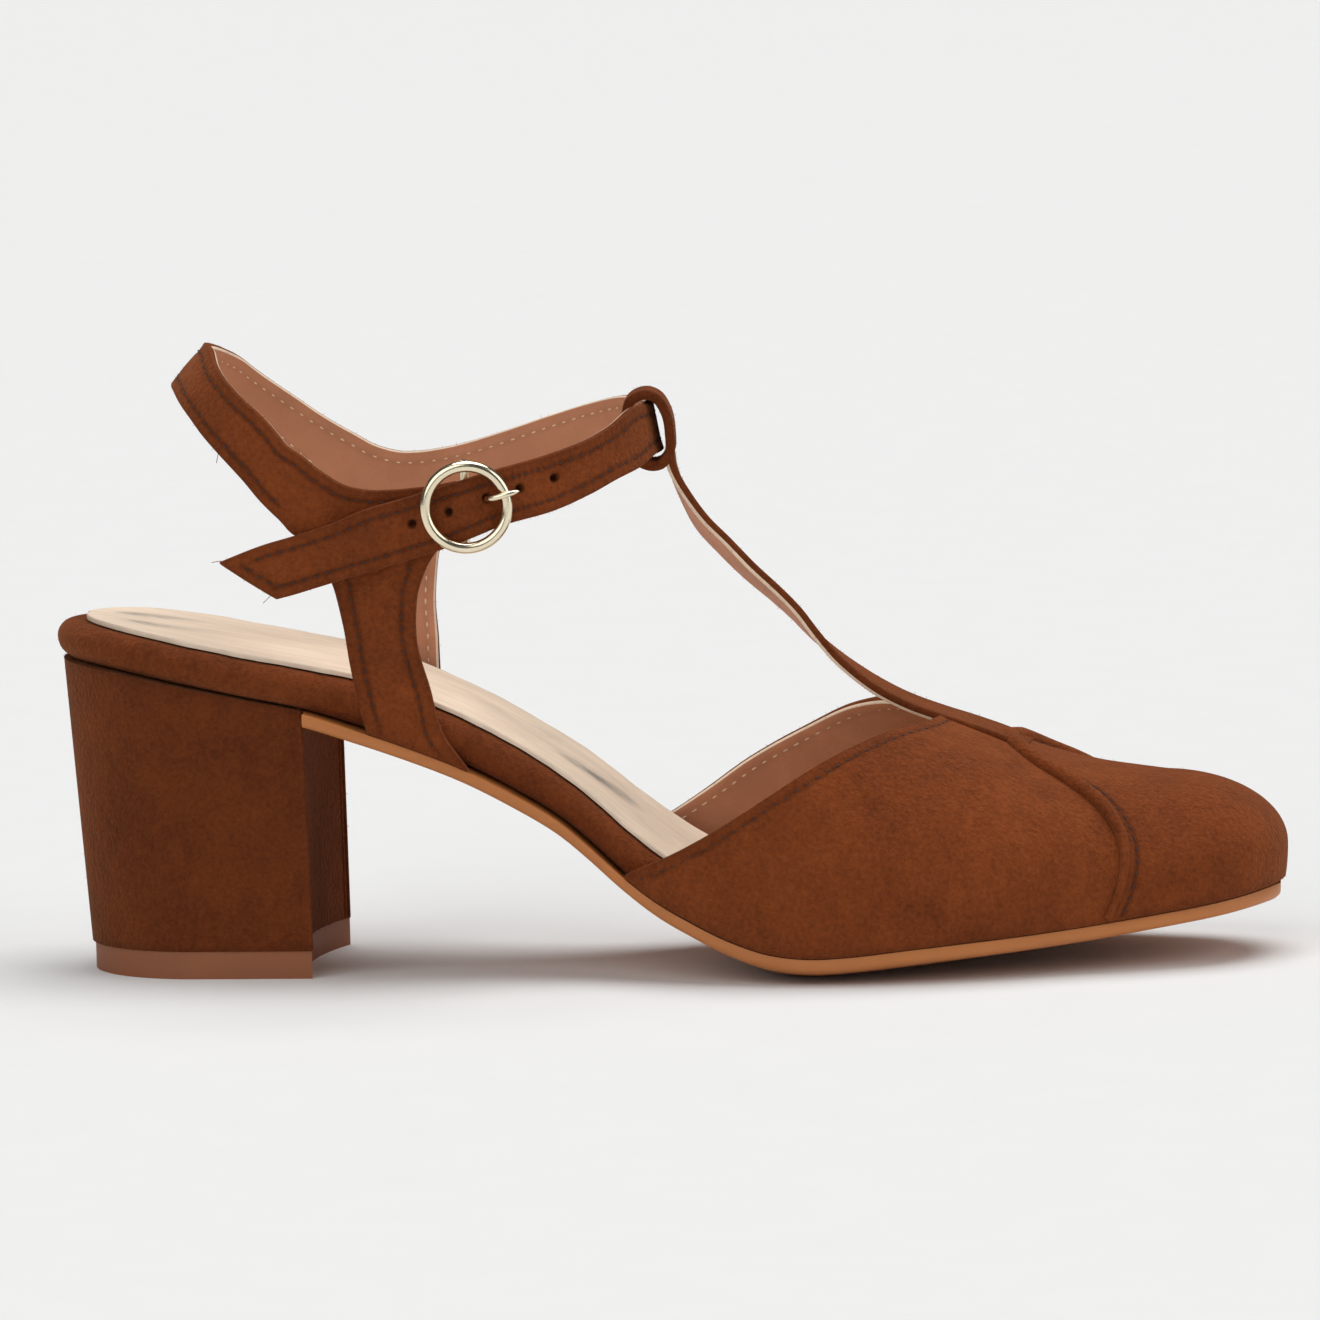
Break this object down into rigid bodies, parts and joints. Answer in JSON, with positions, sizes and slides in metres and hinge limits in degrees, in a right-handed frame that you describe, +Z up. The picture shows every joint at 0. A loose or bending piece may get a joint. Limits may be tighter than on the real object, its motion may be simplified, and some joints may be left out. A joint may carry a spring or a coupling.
{
  "type": "t-strap shoe",
  "caption": "Right closed-toe T-strap court shoe in suede with an ankle strap, ring buckle and covered block heel.",
  "frame": {"origin": "on the floor, in the middle of the heel's top lift", "axes": "+X to the toe, +Y to the inner side of the foot, +Z up; the shoe stands on heel and forefoot"},
  "size_m": [0.2439, 0.079, 0.1248],
  "materials": {
    "suede": "tan-brown suede, napped, dull",
    "heel_suede": "tan-brown suede wrapped over the heel",
    "rim_suede": "tan-brown suede wrapped over the padded footbed",
    "sock_leather": "pale beige smooth leather, worn grey in places",
    "sole_leather": "orange-tan edge-trimmed leather",
    "lift_rubber": "dull brown rubber",
    "brass": "pale gold, polished"
  },
  "bodies": {
    "root": {"upper": "suede", "quarter_strap": "suede", "insole": "rim_suede", "sock": "sock_leather", "outsole": "sole_leather", "heel_block": "heel_suede", "top_lift": "lift_rubber", "buckle_frame": "brass", "buckle_prong": "brass"}
  },
  "joints": []
}
